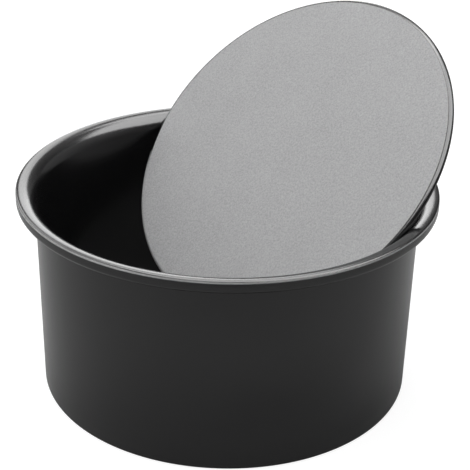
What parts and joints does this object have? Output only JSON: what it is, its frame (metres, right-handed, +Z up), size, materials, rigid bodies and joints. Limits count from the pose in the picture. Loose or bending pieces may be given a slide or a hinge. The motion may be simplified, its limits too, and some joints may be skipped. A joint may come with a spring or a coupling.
{
  "type": "loose-bottom cake tin",
  "caption": "Deep round cake tin with a flared, rolled rim and a turned-in ledge at the foot; its loose round base leans in the mouth, out of its seat.",
  "frame": {"origin": "on the tin's axis, in the plane that the tin stands on", "axes": "+Z up along the tin's axis, out of its mouth; -Y towards the picture's viewer, +X to the viewer's right"},
  "size_m": [0.2016, 0.2012, 0.167],
  "materials": {
    "tin_body": "satin black non-stick coating on steel sheet",
    "loose_base": "satin light grey non-stick coating with a fine speckle, on steel sheet"
  },
  "bodies": {
    "root": {"tin_body": "tin_body", "loose_base": "loose_base"}
  },
  "joints": []
}
